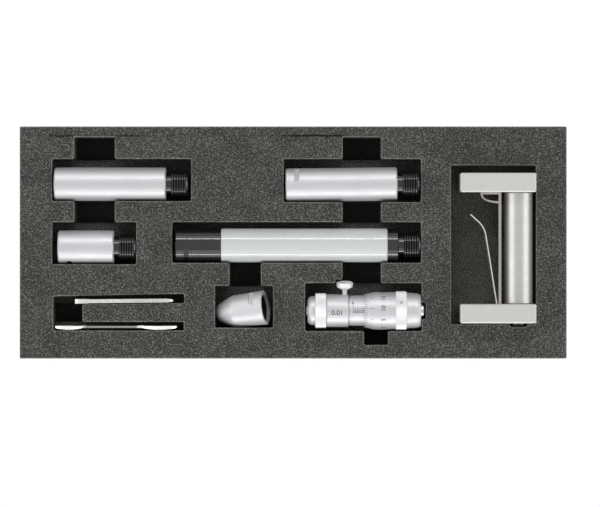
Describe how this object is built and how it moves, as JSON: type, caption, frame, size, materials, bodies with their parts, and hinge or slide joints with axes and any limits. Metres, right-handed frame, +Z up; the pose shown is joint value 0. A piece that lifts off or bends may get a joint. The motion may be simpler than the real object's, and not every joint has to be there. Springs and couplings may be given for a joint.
{
  "type": "micrometer case insert",
  "caption": "Cut foam insert of a micrometer case with an inside micrometer set: head with lock screw, extension rods, end cap, setting gauge and flat spanners.",
  "frame": {"origin": "middle of the flat underside of the insert", "axes": "+X along the long side towards the setting gauge, +Y across the short side, +Z up out of the pockets"},
  "size_m": [0.245, 0.104, 0.032],
  "materials": {
    "black_sheet": "smooth black backing sheet",
    "dark_foam": "closed-cell foam, dark grey, pocket floor",
    "grey_foam": "closed-cell foam, dark grey, fine speckle",
    "satin_chrome": "satin chrome plate",
    "pale_aluminium": "matte pale grey",
    "blackened_steel": "blackened, satin",
    "ground_steel": "ground",
    "spring_steel": "bright spring steel strip",
    "plated_steel": "stamped and plated",
    "brass": "plain"
  },
  "bodies": {
    "tray": {"base_sheet": "black_sheet", "foam_floor_layer": "dark_foam", "foam_cut_layer": "grey_foam"},
    "rod_50_left": {"rod_50_left_tube": "satin_chrome", "rod_50_left_end": "blackened_steel", "rod_50_left_bush": "ground_steel"},
    "rod_50_left_inner": {"rod_50_left_core": "ground_steel"},
    "rod_50_right": {"rod_50_right_tube": "satin_chrome", "rod_50_right_end": "blackened_steel", "rod_50_right_bush": "ground_steel"},
    "rod_50_right_inner": {"rod_50_right_core": "ground_steel"},
    "rod_25": {"rod_25_tube": "satin_chrome", "rod_25_end": "blackened_steel", "rod_25_bush": "ground_steel"},
    "rod_25_inner": {"rod_25_core": "ground_steel"},
    "rod_100": {"rod_100_socket": "blackened_steel", "rod_100_tube": "pale_aluminium", "rod_100_end": "blackened_steel", "rod_100_bush": "ground_steel"},
    "rod_100_inner": {"rod_100_core": "ground_steel"},
    "end_cap": {"end_cap_shell": "satin_chrome", "end_cap_contact": "ground_steel"},
    "head": {"head_contact": "satin_chrome", "head_clamp_ring": "satin_chrome", "head_body": "satin_chrome", "head_sleeve": "satin_chrome", "head_adjusting_nut": "ground_steel", "head_lock_pad": "brass"},
    "lock_screw": {"head_lock_screw": "satin_chrome"},
    "spindle": {"head_spindle": "ground_steel"},
    "thimble": {"thimble": "satin_chrome", "thimble_ring": "satin_chrome", "thimble_end": "satin_chrome"},
    "gauge": {"gauge_jaw_far": "ground_steel", "gauge_jaw_near": "ground_steel", "gauge_bar": "satin_chrome", "gauge_screw": "ground_steel", "gauge_band": "spring_steel"},
    "leaf": {"gauge_leaf": "spring_steel"},
    "hook_spanner": {"hook_spanner": "plated_steel"},
    "open_spanner": {"open_spanner": "plated_steel"}
  },
  "joints": [
    {"name": "rod_50_left_lift", "type": "slide", "parent": "tray", "child": "rod_50_left", "axis": [0, 0, 1], "range_m": [0, 0.04]},
    {"name": "rod_50_left_core_spring", "type": "slide", "parent": "rod_50_left", "child": "rod_50_left_inner", "axis": [1, 0, 0], "range_m": [-0.0008, 0], "stiffness_N_per_m": 1500},
    {"name": "rod_50_right_lift", "type": "slide", "parent": "tray", "child": "rod_50_right", "axis": [0, 0, 1], "range_m": [0, 0.04]},
    {"name": "rod_50_right_core_spring", "type": "slide", "parent": "rod_50_right", "child": "rod_50_right_inner", "axis": [0.9999, 0.0105, 0], "range_m": [-0.0008, 0], "stiffness_N_per_m": 1500},
    {"name": "rod_25_lift", "type": "slide", "parent": "tray", "child": "rod_25", "axis": [0, 0, 1], "range_m": [0, 0.04]},
    {"name": "rod_25_core_spring", "type": "slide", "parent": "rod_25", "child": "rod_25_inner", "axis": [1, 0, 0], "range_m": [-0.0008, 0], "stiffness_N_per_m": 1500},
    {"name": "rod_100_lift", "type": "slide", "parent": "tray", "child": "rod_100", "axis": [0, 0, 1], "range_m": [0, 0.04]},
    {"name": "rod_100_core_spring", "type": "slide", "parent": "rod_100", "child": "rod_100_inner", "axis": [1, 0, 0], "range_m": [-0.0008, 0], "stiffness_N_per_m": 1500},
    {"name": "end_cap_lift", "type": "slide", "parent": "tray", "child": "end_cap", "axis": [0, 0, 1], "range_m": [0, 0.04]},
    {"name": "head_lift", "type": "slide", "parent": "tray", "child": "head", "axis": [0, 0, 1], "range_m": [0, 0.04]},
    {"name": "lock_screw_turn", "type": "hinge", "parent": "head", "child": "lock_screw", "pos_m": [0.02312, -0.0306, 0.0208], "axis": [0, 0.9816, 0.1908], "range_deg": [-270, 90]},
    {"name": "spindle_feed", "type": "slide", "parent": "head", "child": "spindle", "axis": [1, 0, 0], "range_m": [-0.005, 0]},
    {"name": "thimble_turn", "type": "hinge", "parent": "spindle", "child": "thimble", "pos_m": [0.04, -0.0306, 0.0208], "axis": [1, 0, 0], "range_deg": [-3600, 0]},
    {"name": "gauge_lift", "type": "slide", "parent": "tray", "child": "gauge", "axis": [0, 0, 1], "range_m": [0, 0.04]},
    {"name": "leaf_flex", "type": "hinge", "parent": "gauge", "child": "leaf", "pos_m": [0.09108, -0.028, 0.02205], "axis": [0, 0, 1], "range_deg": [-6, 0], "stiffness_Nm_per_rad": 1.5},
    {"name": "hook_spanner_lift", "type": "slide", "parent": "tray", "child": "hook_spanner", "axis": [0, 0, 1], "range_m": [0, 0.04]},
    {"name": "open_spanner_lift", "type": "slide", "parent": "tray", "child": "open_spanner", "axis": [0, 0, 1], "range_m": [0, 0.04]}
  ],
  "couplings": [
    {"joint": "thimble_turn", "follows": "spindle_feed", "rad_per_m": 12566}
  ]
}
